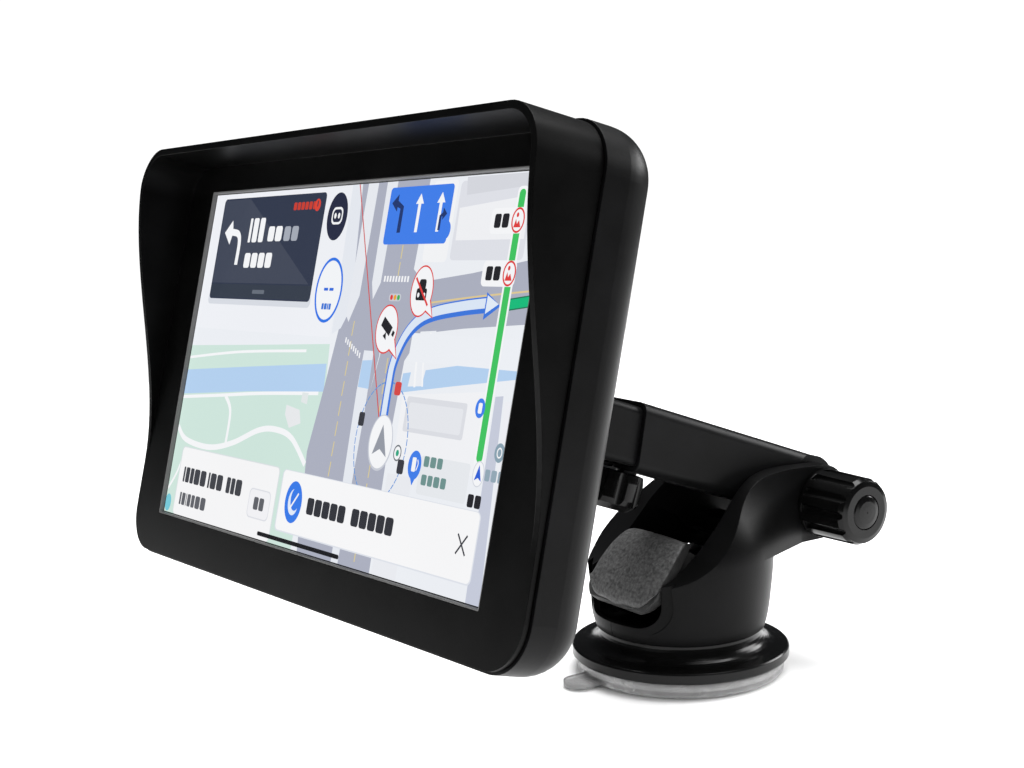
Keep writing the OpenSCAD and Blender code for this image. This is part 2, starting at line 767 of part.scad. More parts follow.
module audio_jack() color([0.08, 0.08, 0.08]) at_display() difference() {
    union() {
        block([-111, board_back, jack_z - 3.2], [-99, board_back + 5.6, jack_z + 3.2]);
        bar_x(3.3, -116.8, -110.5, jack_y, jack_z);
    }
    bar_x(jack_r, -120, -101, jack_y, jack_z);
}

module tact_switch() color([0.2, 0.2, 0.2]) at_display() {
    block([button_x - 3, board_back, 57], [button_x + 3, board_back + 3.5, 60.4]);
    block([button_x - 1.2, board_back + 0.8, 60.4], [button_x + 1.2, board_back + 2.6, 61.4]);
}

module power_button() color(grey_black) at_display() {
    block([button_x - 6, button_y - 2, 62.5], [button_x + 6, button_y + 2, 68.7]);
    block([button_x - 7, button_y - 2.4, 61.9], [button_x + 7, button_y + 2.4, 62.9]);
}

gel_pad();
skirt_disc();
skirt_screws();
housing_left();
housing_right();
housing_screws();
lever_pin();
suction_lever();
plunger();
return_spring();
pivot_bolt();
friction_washers();
pivot_knob();
knob_insert();
knob_cap();
outer_arm();
clamp_nut();
arm_lock_knob();
lock_stud();
inner_arm();
ring_nut();
socket_liner();
ball_liner();
ball_plate();
plate_screws();
front_frame();
rear_cover();
case_screws();
screen_gasket();
cover_glass();
lcd_panel();
light_guide();
backlight_tray();
main_board();
board_screws();
shield_can();
gps_antenna();
antenna_shelf();
battery();
speaker();
power_inlet();
card_slot();
audio_jack();
tact_switch();
power_button();
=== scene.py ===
"""Portable gps navigator: looks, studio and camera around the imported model. Metres."""
import json
import math

import bmesh
import bpy
from mathutils import Matrix, Vector, geometry


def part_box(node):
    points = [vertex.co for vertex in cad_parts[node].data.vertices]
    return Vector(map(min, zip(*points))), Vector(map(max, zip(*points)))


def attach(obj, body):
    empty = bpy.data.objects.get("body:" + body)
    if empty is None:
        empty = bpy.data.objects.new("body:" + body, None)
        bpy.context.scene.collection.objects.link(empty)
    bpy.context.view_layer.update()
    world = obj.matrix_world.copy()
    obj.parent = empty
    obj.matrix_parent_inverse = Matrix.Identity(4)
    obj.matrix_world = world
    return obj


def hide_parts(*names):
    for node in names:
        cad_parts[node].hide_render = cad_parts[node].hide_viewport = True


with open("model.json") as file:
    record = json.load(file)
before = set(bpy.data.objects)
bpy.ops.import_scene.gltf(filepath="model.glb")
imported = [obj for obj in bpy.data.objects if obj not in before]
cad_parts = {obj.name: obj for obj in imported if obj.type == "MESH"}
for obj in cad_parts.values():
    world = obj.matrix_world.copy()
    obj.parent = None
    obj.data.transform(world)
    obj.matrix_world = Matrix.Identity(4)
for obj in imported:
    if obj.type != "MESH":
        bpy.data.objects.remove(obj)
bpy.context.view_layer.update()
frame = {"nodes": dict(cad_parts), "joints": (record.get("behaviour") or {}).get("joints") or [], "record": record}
nodes = frame["nodes"]
joints = {j["name"]: j for j in frame["joints"]}
slots = {s["node"]: s["material_slot"] for s in frame["record"]["subparts"]}
MM = 0.001

# ---------- frame of the display ---------------------------

BALL_BACK = 43.7 * MM
BALL_UP = 2 * MM
SCREEN_W, SCREEN_H = 198.0, 111.7
ball = Vector(joints["ball_roll"]["pos_m"])
disp_y = -Vector(joints["ball_roll"]["axis"]).normalized()
disp_z = -Vector(joints["power_button_press"]["axis"]).normalized()
disp_x = disp_y.cross(disp_z)
disp_origin = ball - BALL_BACK * disp_y - BALL_UP * disp_z


def on_display(x, y, z):
    """A point given in the display's axes in millimetres, in the row frame in metres."""
    return disp_origin + (x * disp_x + y * disp_y + z * disp_z) * MM


# ---------- materials ----------

def new_material(name):
    m = bpy.data.materials.new(name)
    m.use_nodes = True
    nt = m.node_tree
    nt.nodes.clear()
    out = nt.nodes.new("ShaderNodeOutputMaterial")
    bsdf = nt.nodes.new("ShaderNodeBsdfPrincipled")
    nt.links.new(bsdf.outputs[0], out.inputs["Surface"])
    return m, nt, bsdf


def noise_of(nt, scale, detail=3.0, stretch=None, kind="ShaderNodeTexNoise"):
    tex = nt.nodes.new(kind)
    tex.inputs["Scale"].default_value = scale
    if "Detail" in tex.inputs:
        tex.inputs["Detail"].default_value = detail
    co = nt.nodes.new("ShaderNodeTexCoord")
    if stretch:
        mp = nt.nodes.new("ShaderNodeMapping")
        mp.inputs["Scale"].default_value = stretch
        nt.links.new(co.outputs["Object"], mp.inputs["Vector"])
        nt.links.new(mp.outputs[0], tex.inputs["Vector"])
    else:
        nt.links.new(co.outputs["Object"], tex.inputs["Vector"])
    return tex


def ramp_of(nt, source, low, high, a=0.3, b=0.7):
    ramp = nt.nodes.new("ShaderNodeValToRGB")
    ramp.color_ramp.elements[0].position = a
    ramp.color_ramp.elements[1].position = b
    ramp.color_ramp.elements[0].color = (*low, 1)
    ramp.color_ramp.elements[1].color = (*high, 1)
    nt.links.new(source, ramp.inputs[0])
    return ramp.outputs["Color"]


def range_of(nt, source, low, high):
    mr = nt.nodes.new("ShaderNodeMapRange")
    mr.inputs["To Min"].default_value = low
    mr.inputs["To Max"].default_value = high
    nt.links.new(source, mr.inputs["Value"])
    return mr.outputs["Result"]


def surface(name, dark, light, rough=(0.3, 0.4), grain=900, grain_depth=0.00002, mottle=60,
            edge=0.00035, metallic=0.0, spec=0.5, coat=0.0, stretch=None, clear=0.0, ior=1.46):
    """Moulded or metal surface: mottled colour, uneven gloss, fine grain and rounded edges.

    Grain and mottle are noise scales per metre; grain_depth and edge are lengths in metres.
    """
    m, nt, bsdf = new_material(name)
    big = noise_of(nt, mottle, 4.0, stretch)
    fine = noise_of(nt, grain, 2.0, stretch)
    nt.links.new(ramp_of(nt, big.outputs[0], dark, light), bsdf.inputs["Base Color"])
    nt.links.new(range_of(nt, big.outputs[0], *rough), bsdf.inputs["Roughness"])
    bump = nt.nodes.new("ShaderNodeBump")
    bump.inputs["Distance"].default_value = grain_depth
    bump.inputs["Strength"].default_value = 1.0
    nt.links.new(fine.outputs[0], bump.inputs["Height"])
    if edge:
        bevel = nt.nodes.new("ShaderNodeBevel")
        bevel.samples = 4
        bevel.inputs["Radius"].default_value = edge
        nt.links.new(bevel.outputs[0], bump.inputs["Normal"])
    nt.links.new(bump.outputs[0], bsdf.inputs["Normal"])
    bsdf.inputs["Metallic"].default_value = metallic
    bsdf.inputs["Specular IOR Level"].default_value = spec
    bsdf.inputs["Coat Weight"].default_value = coat
    bsdf.inputs["Transmission Weight"].default_value = clear
    bsdf.inputs["IOR"].default_value = ior
    return m


def grey(v, tint=0.0):
    """Even grey, or a bluish one."""
    return (v, v, v * (1 + tint))


MATS = {
    "case_black": surface("case_black", grey(0.0015), grey(0.003), (0.3, 0.38), 1400, 0.000012,
                          spec=0.1),
    "cover_black": surface("cover_black", grey(0.002), grey(0.004, 0.1), (0.34, 0.44), 1300,
                           0.000016, spec=0.13),
    "gloss_black": surface("gloss_black", grey(0.001), grey(0.003), (0.16, 0.24), 500, 0.000004,
                           spec=0.24),
    "satin_black": surface("satin_black", grey(0.002), grey(0.0035, 0.08), (0.34, 0.44), 1500,
                           0.00002, spec=0.1),
    "arm_black": surface("arm_black", grey(0.003), grey(0.005, 0.08), (0.34, 0.44), 1500,
                         0.000016, spec=0.1),
    "lever_grain": surface("lever_grain", grey(0.022), grey(0.04), (0.5, 0.62), 1100, 0.00007, 300),
    "steel": surface("steel", grey(0.42), grey(0.55), (0.25, 0.4), 500, 0.00001, 90, metallic=1.0,
                     stretch=(1, 1, 8)),
    "spring_steel": surface("spring_steel", grey(0.35), grey(0.5), (0.2, 0.35), 700, 0.00001, 120,
                            metallic=1.0, edge=0),
    "brass": surface("brass", (0.55, 0.36, 0.12), (0.68, 0.47, 0.18), (0.22, 0.36), 600,
                     0.00001, 90, metallic=1.0, stretch=(8, 1, 1)),
    "liner_nylon": surface("liner_nylon", grey(0.2), grey(0.26), (0.42, 0.52), 700, 0.00002),
    "liner_rubber": surface("liner_rubber", grey(0.015), grey(0.03), (0.65, 0.8), 900, 0.00004),
    "screen_glass": surface("screen_glass", grey(0.004), grey(0.006), (0.05, 0.09), 300, 0.000001,
                            30, edge=0.0002, coat=0.5),
    "panel": surface("panel", (0.05, 0.07, 0.09), (0.07, 0.1, 0.12), (0.15, 0.2), 400, 0.000002),
    "light_guide": surface("light_guide", grey(0.7), grey(0.8), (0.15, 0.22), 600, 0.00001,
                           clear=0.6, ior=1.49),
    "foam": surface("foam", grey(0.01), grey(0.025), (0.8, 0.95), 1800, 0.0001),
    "board_green": surface("board_green", (0.0, 0.07, 0.03), (0.01, 0.12, 0.05), (0.2, 0.3),
                           900, 0.00002, 400),
    "ceramic": surface("ceramic", (0.55, 0.45, 0.3), (0.68, 0.58, 0.42), (0.5, 0.6), 900,
                       0.00003),
    "cell_foil": surface("cell_foil", grey(0.5), grey(0.62), (0.3, 0.45), 350, 0.00005, 60,
                         metallic=0.9),
    "speaker_black": surface("speaker_black", grey(0.01), grey(0.02), (0.6, 0.75), 1200, 0.00005),
    "port_black": surface("port_black", grey(0.006), grey(0.01), (0.35, 0.45), 900, 0.00001),
}
trim_grey = surface("trim_grey", grey(0.11), grey(0.14), (0.4, 0.5), 900, 0.00001)
grip_grain = surface("grip_grain", grey(0.03), grey(0.1), (0.45, 0.62), 1500, 0.0002, 900)


def gel_material():
    """Soft clear gel: a little milky, with small waves and bubbles."""
    m, nt, bsdf = new_material("gel")
    big = noise_of(nt, 160, 4.0)
    nt.links.new(ramp_of(nt, big.outputs[0], grey(0.62), grey(0.85)), bsdf.inputs["Base Color"])
    nt.links.new(range_of(nt, big.outputs[0], 0.12, 0.3), bsdf.inputs["Roughness"])
    cells = noise_of(nt, 420, kind="ShaderNodeTexVoronoi")
    bump = nt.nodes.new("ShaderNodeBump")
    bump.inputs["Distance"].default_value = 0.00025
    bump.inputs["Strength"].default_value = 0.6
    nt.links.new(cells.outputs["Distance"], bump.inputs["Height"])
    nt.links.new(bump.outputs[0], bsdf.inputs["Normal"])
    bsdf.inputs["Transmission Weight"].default_value = 0.72
    bsdf.inputs["IOR"].default_value = 1.41
    return m


MATS["clear_gel"] = gel_material()


def screen_material():
    """Lit picture: the painted colours glow through a fine pixel pattern behind a gloss."""
    m, nt, bsdf = new_material("screen_picture")
    col = nt.nodes.new("ShaderNodeVertexColor")
    col.layer_name = "picture"
    drift = noise_of(nt, 14, 1.0)
    pixels = noise_of(nt, 2600, 0.0, kind="ShaderNodeTexVoronoi")
    mul = nt.nodes.new("ShaderNodeMath")
    mul.operation = "MULTIPLY"
    nt.links.new(range_of(nt, drift.outputs[0], 0.965, 1.02), mul.inputs[0])
    nt.links.new(range_of(nt, pixels.outputs["Distance"], 1.0, 0.985), mul.inputs[1])
    scale = nt.nodes.new("ShaderNodeVectorMath")
    scale.operation = "SCALE"
    nt.links.new(col.outputs["Color"], scale.inputs[0])
    nt.links.new(mul.outputs[0], scale.inputs["Scale"])
    nt.links.new(scale.outputs[0], bsdf.inputs["Emission Color"])
    bsdf.inputs["Emission Strength"].default_value = 0.93
    bsdf.inputs["Base Color"].default_value = (0.01, 0.01, 0.012, 1)
    bsdf.inputs["Roughness"].default_value = 0.12
    bsdf.inputs["Specular IOR Level"].default_value = 0.25
    return m


for name, obj in nodes.items():
    for s in obj.material_slots:
        s.material = MATS[slots[name]]
    if not obj.material_slots:
        obj.data.materials.append(MATS[slots[name]])


# ---------- outlines and meshes ----------

def arc_points(cx, cy, r, degrees):
    return [(cx + r * math.cos(math.radians(a)),
             cy + r * math.sin(math.radians(a))) for a in degrees]


def round_points(cx, cy, r, n=96):
    return [(cx + r * math.cos(2 * math.pi * k / n), cy + r * math.sin(2 * math.pi * k / n))
            for k in range(n)]


def lathe(profile, n=96):
    """Points and faces of a closed round body; the profile starts and ends on its axis."""
    verts = [(0, 0, profile[0][1]), (0, 0, profile[-1][1])]
    rings = []
    for r, z in profile[1:-1]:
        rings.append(len(verts))
        verts += [(x, y, z) for x, y in round_points(0, 0, r, n)]
    faces = []
    for k in range(n):
        q = (k + 1) % n
        faces.append([0, rings[0] + q, rings[0] + k])
        faces.append([1, rings[-1] + k, rings[-1] + q])
        for a, b in zip(rings, rings[1:]):
            faces.append([a + k, a + q, b + q, b + k])
    return verts, faces


def sheet_faces(nu, nv):
    """Faces of a thin closed sheet: a top grid of nu by nv cells, its underside and the rim."""
    w = nu + 1
    under = w * (nv + 1)
    faces = []
    for j in range(nv):
        for i in range(nu):
            q = [j * w + i, j * w + i + 1, (j + 1) * w + i + 1, (j + 1) * w + i]
            faces.append(q)
            faces.append([under + k for k in q[::-1]])
    rim = ([i for i in range(nu)] + [j * w + nu for j in range(nv)]
           + [nv * w + i for i in range(nu, 0, -1)] + [j * w for j in range(nv, 0, -1)])
    for k, a in enumerate(rim):
        b = rim[(k + 1) % len(rim)]
        faces.append([b, a, under + a, under + b])
    return faces


def recalc(obj):
    bm = bmesh.new()
    bm.from_mesh(obj.data)
    bmesh.ops.recalc_face_normals(bm, faces=bm.faces)
    bm.to_mesh(obj.data)
    bm.free()


def add_piece(name, verts, faces, material, body, smooth=True):
    """A visual piece in metres that rides one body of the frame."""
    mesh = bpy.data.meshes.new(name)
    mesh.from_pydata([tuple(v) for v in verts], [], faces)
    mesh.validate()
    mesh.update()
    for p in mesh.polygons:
        p.use_smooth = smooth
    mesh.materials.append(material)
    obj = bpy.data.objects.new(name, mesh)
    bpy.context.scene.collection.objects.link(obj)
    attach(obj, body)
    return obj


# ---------- the picture on the screen ----------

def srgb(red, green, blue):
    """Linear colour of a display's 0-255 levels."""
    return tuple(((c / 255) / 12.92 if c <= 10 else ((c / 255 + 0.055) / 1.055) ** 2.4)
                 for c in (red, green, blue))


shapes = []


def poly(points, colour):
    """One painted shape; a later shape covers an earlier one."""
    area = sum(a[0] * b[1] - b[0] * a[1] for a, b in zip(points, points[1:] + points[:1]))
    shapes.append((points if area > 0 else points[::-1], colour))


def rect(x0, z0, x1, z1, colour, r=0.0, skew=0.0):
    if r <= 0:
        poly([(x0, z0), (x1, z0 + skew), (x1, z1 + skew), (x0, z1)], colour)
        return
    pts = []
    for cx, cz, start in ((x1 - r, z0 + r, -90), (x1 - r, z1 - r, 0), (x0 + r, z1 - r, 90),
                          (x0 + r, z0 + r, 180)):
        pts += arc_points(cx, cz, r, range(start, start + 91, 15))
    poly(pts, colour)


def oval(cx, cz, rx, rz, colour, n=40):
    turns = [2 * math.pi * k / n for k in range(n)]
    poly([(cx + rx * math.cos(a), cz + rz * math.sin(a)) for a in turns], colour)


def spline(points, steps=8):
    """Smooth curve through the points."""
    pts = [points[0]] + list(points) + [points[-1]]
    out = []
    for a, b, c, d in zip(pts, pts[1:], pts[2:], pts[3:]):
        for k in range(steps):
            t = k / steps
            out.append(tuple(0.5 * (2 * b[i] + (c[i] - a[i]) * t
                                    + (2 * a[i] - 5 * b[i] + 4 * c[i] - d[i]) * t * t
                                    + (3 * b[i] - a[i] - 3 * c[i] + d[i]) * t ** 3)
                             for i in (0, 1)))
    return out + [points[-1]]


def stroke(points, width, colour, smooth=True):
    """Band of even width along a line, or along a smooth curve through its points."""
    pts = spline(points) if smooth and len(points) > 2 else list(points)
    left, right = [], []
    for i, p in enumerate(pts):
        a, b = pts[max(i - 1, 0)], pts[min(i + 1, len(pts) - 1)]
        dx, dz = b[0] - a[0], b[1] - a[1]
        n = math.hypot(dx, dz)
        left.append((p[0] - dz / n * width / 2, p[1] + dx / n * width / 2))
        right.append((p[0] + dz / n * width / 2, p[1] - dx / n * width / 2))
    poly(left + right[::-1], colour)


def bars(x0, z0, height, widths, colour, space=0.9):
    """Row of rounded blocks in place of lettering."""
    x = x0
    for w in widths:
        rect(x, z0, x + w, z0 + height, colour, min(w, height) * 0.22)
        x += w + space


PALE = srgb(243, 246, 251)
PARK = srgb(212, 236, 226)
RIVER = srgb(184, 214, 246)
ROAD = srgb(176, 180, 196)
BLOCK = srgb(229, 231, 238)
WHITE = srgb(252, 253, 255)
NAVY = srgb(44, 53, 74)
BLUE = srgb(62, 128, 240)
GREEN = srgb(62, 200, 96)
RED = srgb(228, 58, 56)
INK = srgb(52, 54, 62)
JET = srgb(24, 24, 28)
LANE_LINE = srgb(224, 208, 148)
ISLAND = srgb(238, 241, 247)
CARD_INK = srgb(62, 64, 70)
CARD_GREY = srgb(96, 98, 104)
ROUTE_EDGE = srgb(58, 120, 226)
BUTTON_NAVY = srgb(30, 36, 62)
BADGE_BLUE = srgb(52, 124, 238)
LABEL_GREEN = srgb(112, 150, 146)
PLACE_GREY = srgb(140, 165, 180)
CROSS_GREY = srgb(60, 62, 68)

half_w, half_h = SCREEN_W / 2, SCREEN_H / 2


def ring(cx, cz, rx, rz, width, colour, inside):
    oval(cx, cz, rx, rz, colour)
    oval(cx, cz, rx - width, rz - width, inside)


def callout(cx, cz, rx, rz, tip):
    """Round sign with a tail that points at its place on the road."""
    dx, dz = tip[0] - cx, tip[1] - cz
    n = math.hypot(dx, dz)
    for grow, colour in ((0.75, RED), (0.0, WHITE)):
        sx, sz = -dz / n * (2.3 + grow), dx / n * (2.3 + grow)
        far = 1 + 0.9 * grow / n
        root_x, root_z = cx + dx * 0.35, cz + dz * 0.35
        poly([(root_x + sx, root_z + sz), (root_x - sx, root_z - sz),
              (cx + dx * far, cz + dz * far)], colour)
        oval(cx, cz, rx + grow * 0.6, rz + grow * 0.6, colour)


def paint_ground():
    """Land, park, river and paths."""
    rect(-half_w, -half_h, half_w, half_h, PALE)
    rect(-half_w, 9, -2, half_h, srgb(246, 248, 253))
    poly([(-half_w, 2.6), (-40, 5.2), (-1, 7), (1, -8), (-3, -24), (-4, -half_h),
          (-half_w, -half_h)], PARK)
    poly([(-half_w, -6), (-50, -2.4), (-1, 1), (0, -7.5), (-50, -10.6), (-half_w, -14.5)], RIVER)
    stroke([(-half_w, -1.6), (-60, 2), (-15, 4.3)], 0.9, WHITE)
    stroke([(-half_w, -15.6), (-70, -13.2), (-40, -10.6), (-3, -8.2)], 1.1, WHITE)
    stroke([(-66, -13), (-60.5, -18), (-60, -29)], 1.6, WHITE)
    stroke([(-half_w, -26), (-91, -30), (-72, -31), (-55, -28), (-38, -22.4), (-26, -21.2),
            (-15, -23), (-4, -30)], 1.9, WHITE)
    stroke([(-half_w, -48), (-94, -42), (-91, -36)], 1.1, WHITE)
    poly([(-22, -13), (-13, -14), (-11, -18), (-18, -20), (-22, -16)], srgb(238, 240, 242))
    poly([(-13, -8.5), (-9, -8.5), (-9, -12), (-13, -11.5)], srgb(232, 238, 238))


def paint_avenues():
    """Avenues, their pale islands and the river between them."""
    poly([(1, half_h), (24, half_h), (24, 24), (29, 5), (27, -6), (27, -half_h), (0, -half_h),
          (-4, -26), (0, -6), (3, 12), (7, 22)], ROAD)
    poly([(-3, half_h), (3, half_h), (8, 18), (4, 12), (-1, 10)], srgb(236, 240, 247))
    poly([(24, half_h), (41, half_h), (40, 30), (46, 26.5), (70, 29), (half_w, 33), (half_w, 16),
          (70, 14), (50, 12), (43, 4), (42, -20), (43, -half_h), (25, -half_h), (27, -6), (30, 8),
          (22, 18)], ROAD)
    poly([(6.5, half_h), (12.5, half_h), (12, 22), (8, 14), (6, 16)], ISLAND)
    poly([(17.5, half_h), (23.5, half_h), (23, 26), (20, 21), (18, 26)], ISLAND)
    poly([(20, 6), (25.5, 6), (26, -12), (25, -half_h), (21, -half_h), (19.5, -6)],
         srgb(236, 240, 247))
    poly([(20, 3), (25.5, 3.4), (26, -5), (19.8, -4.8)], RIVER)
    poly([(43.5, 0.5), (70, 4), (half_w, 9.5), (half_w, 2), (70, -1.5), (43, -5)], RIVER)
    poly([(49, 12.5), (57, 13), (54, -2.5), (47, -3)], srgb(243, 246, 251))
    stroke([(51, 12), (49.5, 5), (50.5, -3)], 1.0, WHITE)
    stroke([(54.5, 12.4), (53, 5), (54.5, -2.6)], 0.8, WHITE)


def paint_buildings():
    """Pale blocks beside the avenues."""
    rect(43.5, 32, 56, 55, srgb(250, 251, 253), 1.5)
    rect(57.5, 32.5, 92, 54.5, BLOCK, 1.5, -0.5)
    poly([(58.5, 47), (91, 49.5), (91, 38), (59, 38)], srgb(247, 248, 251))
    poly([(60, 55.5), (90, 55.5), (90, 52), (61, 50.5)], srgb(219, 221, 228))
    rect(45, 4, half_w, 12, srgb(244, 247, 252))
    poly([(45, -5.5), (86, -2), (88, -24), (46, -24)], srgb(248, 249, 252))
    rect(48, -15.4, 78, -5.6, srgb(226, 228, 234), 0.8)
    rect(49.5, -14.2, 76.5, -7.2, srgb(236, 238, 243), 0.8)
    rect(44, -half_h, 57, -27.5, srgb(240, 242, 247))
    rect(60, -31.5, 84, -21, srgb(237, 240, 244), 1)
    poly([(90, -3), (93.5, -2.6), (98, -half_h), (91.5, -half_h)], srgb(203, 208, 224))
    poly([(94.5, -4), (half_w, -4), (half_w, -half_h), (half_w, -half_h + 1)], srgb(244, 245, 250))


def paint_lines():
    """Lane lines, two crossings and the bearing line."""
    for z in range(-50, 14, 6):
        stroke([(11.3, z), (11.5, z + 4.4)], 0.5, LANE_LINE)
    for z in range(28, 52, 5):
        stroke([(32, z), (32, z + 4)], 0.5, LANE_LINE)
    for z in range(-54, 6, 6):
        stroke([(34, z), (34, z + 4.4)], 0.5, LANE_LINE)
    stroke([(52, 20.7), (75, 22.8), (half_w, 24.6)], 0.5, srgb(228, 206, 150))
    for k in range(9):
        rect(24.5 + 1.6 * k, 26.3, 25.4 + 1.6 * k, 28, WHITE)
    for k in range(8):
        rect(8 + 1.35 * k, 7.8 - 0.6 * k, 8.7 + 1.35 * k, 9.4 - 0.6 * k, WHITE)
    stroke([(1.2, half_h), (34.4, -12.5)], 0.55, srgb(214, 84, 80))


def paint_route():
    """Compass ring, route and its arrow."""
    for k in range(46):
        a0, a1 = math.radians(k * 360 / 46), math.radians((k + 0.82) * 360 / 46)
        stroke([(37.4 + 14 * math.cos(a), -19.3 + 17 * math.sin(a)) for a in (a0, a1)], 0.4,
               srgb(96, 152, 222))
    line = [(37, -14), (36.9, -4), (37.4, 3), (41.2, 10.4), (47, 15.2), (55, 17.8), (68, 19.6),
             (79, 20.6)]
    stroke(line, 4.4, ROUTE_EDGE)
    stroke([(x - 0.25, z + 0.45) for x, z in line], 2.7, srgb(226, 238, 253))
    poly([(78.5, 16.6), (85.6, 20.4), (78.5, 24)], ROUTE_EDGE)
    poly([(79, 18.2), (84.6, 20.9), (79, 23.2)], srgb(232, 242, 254))
    stroke([(89.5, 20.9), (half_w, 22)], 3.2, srgb(20, 120, 84))
    stroke([(89.5, 20.9), (half_w, 22)], 2.5, srgb(0, 192, 124))


def paint_vehicle():
    """Marker of the vehicle and of the stop beside it."""
    oval(37.5, -19.6, 6.5, 8, srgb(206, 210, 220))
    oval(37.5, -19.4, 6.0, 7.5, WHITE)
    poly([(37.6, -14.4), (41.6, -23.4), (37.6, -21.4), (33.8, -23.2)], srgb(152, 157, 168))
    ring(47.4, -21.6, 2.1, 2.3, 0.45, srgb(110, 116, 122), WHITE)
    oval(47.4, -21.6, 0.8, 0.9, srgb(40, 170, 130))


def paint_callouts():
    """Camera sign, no-parking sign and the small traffic light."""
    callout(30.6, 12.6, 5.6, 6.7, (38.2, 4.6))
    poly([(27.2, 13.6), (32.4, 10.6), (33.8, 13.2), (28.6, 16.2)], JET)
    poly([(29, 10.6), (31, 9.4), (30.6, 11.8)], JET)
    poly([(33.6, 11), (34.8, 10.4), (35.4, 11.8), (34.2, 12.4)], JET)
    callout(46.1, 23.8, 5.4, 6.9, (53.4, 16.8))
    rect(43.4, 21.2, 48.8, 24.6, JET, 0.7)
    rect(44.3, 24.2, 47.9, 27.2, JET, 0.9)
    oval(44.6, 22.7, 0.6, 0.7, WHITE, 12)
    oval(47.6, 22.7, 0.6, 0.7, WHITE, 12)
    stroke([(42.2, 27.6), (50.2, 19.8)], 0.75, RED)
    rect(29, 20.7, 35.6, 22.9, srgb(206, 209, 218), 1.0)
    for k, c in enumerate((RED, srgb(240, 170, 50), srgb(60, 180, 90))):
        oval(30.4 + 1.9 * k, 21.8, 0.75, 0.8, c, 16)


def paint_lane_sign():
    """Blue sign with one arrow for each lane."""
    rect(20.4, 37.2, 54.2, 54, BLUE, 1.2)
    oval(53.4, 41, 2.2, 2.6, BLUE)
    deep = srgb(24, 52, 112)
    stroke([(28, 40.6), (28, 48), (24.6, 49.4)], 1.9, deep, False)
    poly([(25.4, 52), (25.4, 46.8), (22, 49.4)], deep)
    for x in (37.4, 48.6):
        stroke([(x, 40.6), (x, 49.6)], 1.5, WHITE)
        poly([(x - 2.1, 48.8), (x + 2.1, 48.8), (x, 51.8)], WHITE)
    stroke([(49.4, 41), (49.4, 45), (51, 45.6)], 1.2, deep, False)
    poly([(50.4, 47.4), (50.4, 43.8), (52.6, 45.6)], deep)


def paint_progress():
    """Progress bar and the two signs beside it."""
    rect(85.1, -21.6, 89.5, 52, WHITE, 1.4)
    rect(85.9, -20.2, 88.7, 51.2, GREEN, 1.2)
    for z in (43, 29):
        rect(74.6, z - 3.5, 90, z + 3.4, WHITE, 1.6)
        bars(76.4, z - 1.9, 3.8, (3, 3), JET, 0.6)
        ring(87.1, z, 2.9, 3.4, 0.55, RED, WHITE)
        oval(86.7, z + 1.4, 0.55, 0.65, RED, 12)
        poly([(85.4, z - 1.9), (88.6, z - 1.9), (87.6, z), (86.8, z - 1), (86.2, z + 0.4)], RED)
    ring(88, -23.2, 2.6, 3.4, 0.3, srgb(216, 220, 228), WHITE)
    poly([(88, -20.8), (89.6, -25), (88, -24.2), (86.4, -25)], srgb(40, 96, 220))
    bars(85, -32, 3.4, (2.8, 2.8), JET, 0.5)


def paint_places():
    """Place markers and blocks for their labels."""
    oval(84, -6.4, 2.2, 2.6, BLUE)
    rect(83.1, -7.8, 84.9, -5, WHITE, 0.5)
    oval(95.8, -17, 2.2, 2.5, PLACE_GREY)
    ring(95.8, -17, 1.2, 1.4, 0.4, WHITE, PLACE_GREY)
    bars(91, -24.6, 3, (2.2, 2.4, 2.2), srgb(150, 172, 186), 0.6)
    oval(57.2, -24, 3.3, 4, BLUE)
    poly([(56, -27.6), (58.4, -27.6), (57.2, -29.6)], BLUE)
    rect(55.8, -25.8, 57.8, -21.9, WHITE, 0.4)
    stroke([(58.2, -25.4), (58.9, -23.6), (58.4, -22.4)], 0.4, WHITE)
    bars(61.6, -23.9, 2.9, (2.6, 2.8, 2.6), LABEL_GREEN, 0.6)
    bars(61.6, -28.9, 2.9, (2.6, 2.4, 2.8, 2.6), LABEL_GREEN, 0.6)
    bars(23.4, -15.8, 4, (3.2,), INK)
    bars(48.4, -27.2, 4, (3.4,), INK)
    bars(40.4, -5.8, 3.8, (3.4,), srgb(220, 70, 66))


def paint_turn_panel():
    """Dark panel with the next turn, with a painted reflection over most of it."""
    rect(-92.4, 17.6, -17.9, 21.6, srgb(222, 226, 234), 1.8)
    rect(-91.9, 19.5, -18.5, 54.2, NAVY, 1.6)
    # Painted reflection: this lighter wedge is glare on the glass painted into the picture; the navy corner above
    # its diagonal edge is the panel's own colour.
    poly([(-91.4, 53.7), (-72, 53.7), (-21, 25), (-91.4, 25)], srgb(64, 71, 88))
    poly([(-91.4, 24.6), (-18.9, 24.6), (-18.9, 21), (-20.4, 20), (-90, 20), (-91.4, 21)],
         srgb(49, 58, 72))
    rect(-59.4, 21.5, -50.6, 22.8, srgb(104, 112, 124), 0.5)
    stroke([(-75.4, 31.2), (-75.4, 38.6), (-77, 41.6), (-80.6, 42.4), (-83.4, 42.4)], 2.3, WHITE)
    poly([(-83, 46.6), (-81.4, 42.4), (-83, 38.2), (-88, 42.4)], WHITE)
    bars(-69.2, 38.8, 8.2, (1.7, 3.6, 3.6), WHITE, 1.1)
    bars(-54.8, 39, 5, (4.4, 4.6), WHITE)
    bars(-43.4, 39, 4.8, (4.4, 4.4), srgb(170, 176, 188))
    bars(-69.4, 30.2, 5, (4.3, 4.3, 4.3, 4.5), WHITE)
    bars(-39.6, 49, 2.5, (2.1, 2.1, 2.1, 2.1, 2.1, 2.1), srgb(206, 60, 44), 0.5)
    oval(-23.6, 50.3, 1.9, 2, srgb(226, 66, 48), 20)
    rect(-23.9, 49.8, -23.3, 51.6, NAVY)


